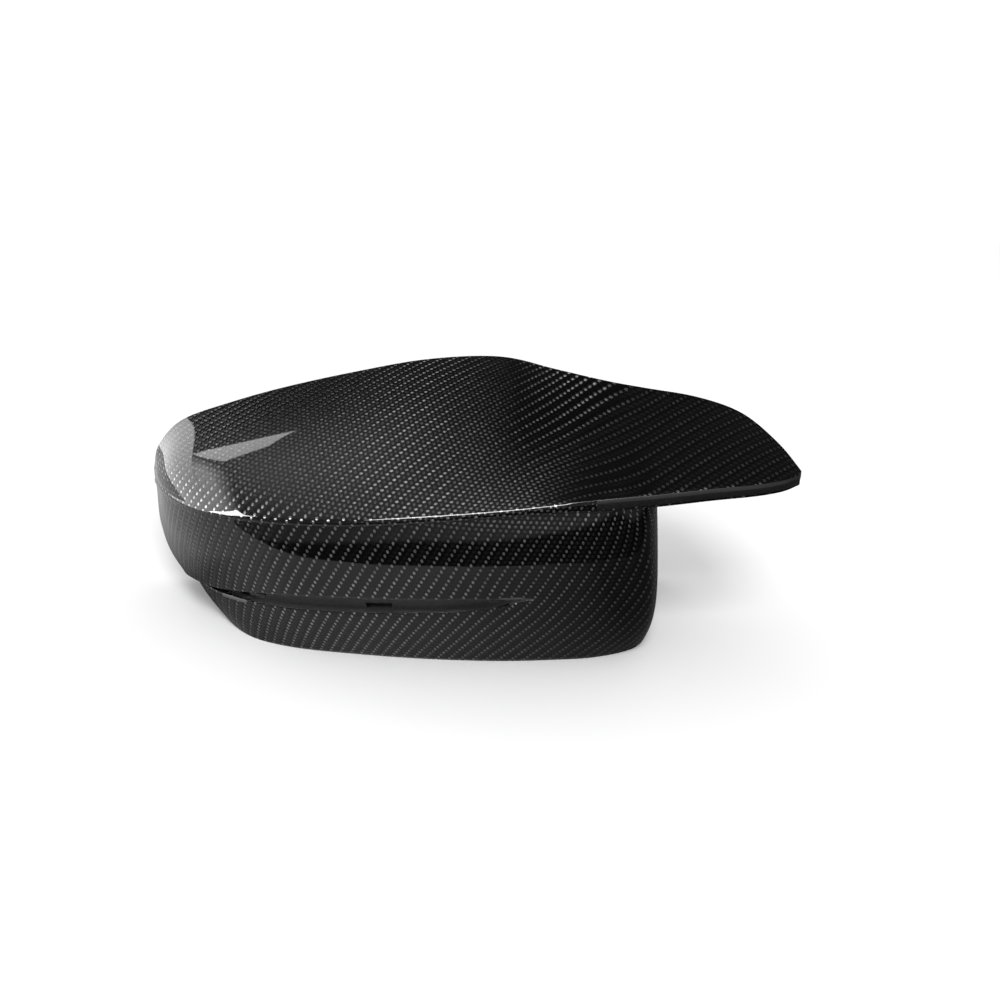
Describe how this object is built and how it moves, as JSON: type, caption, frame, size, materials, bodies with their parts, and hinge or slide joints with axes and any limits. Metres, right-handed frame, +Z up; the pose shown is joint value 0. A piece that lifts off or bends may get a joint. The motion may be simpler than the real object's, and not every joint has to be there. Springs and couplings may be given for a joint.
{
  "type": "wing mirror cover",
  "caption": "Door mirror cover in twill carbon: a thin shell open to the rear and below, with a fin past its inner end, a lamp slot along its front, and snap clips bonded inside.",
  "frame": {"origin": "under the middle of the box, level with the lower rim", "axes": "+X from the outer end to the fin's tip, +Y to the rear where the mirror head goes in, +Z up"},
  "size_m": [0.2856, 0.1052, 0.1133],
  "materials": {
    "carbon": "twill carbon under a high-gloss clear coat",
    "clip_plastic": "moulded, satin"
  },
  "bodies": {
    "root": {"cover_shell": "carbon", "shoulder_clip": "clip_plastic", "crest_clip": "clip_plastic", "fin_root_clip": "clip_plastic", "outer_end_clip": "clip_plastic", "inner_wall_clip": "clip_plastic", "outer_foot_clip": "clip_plastic", "front_foot_clip": "clip_plastic"}
  },
  "joints": []
}
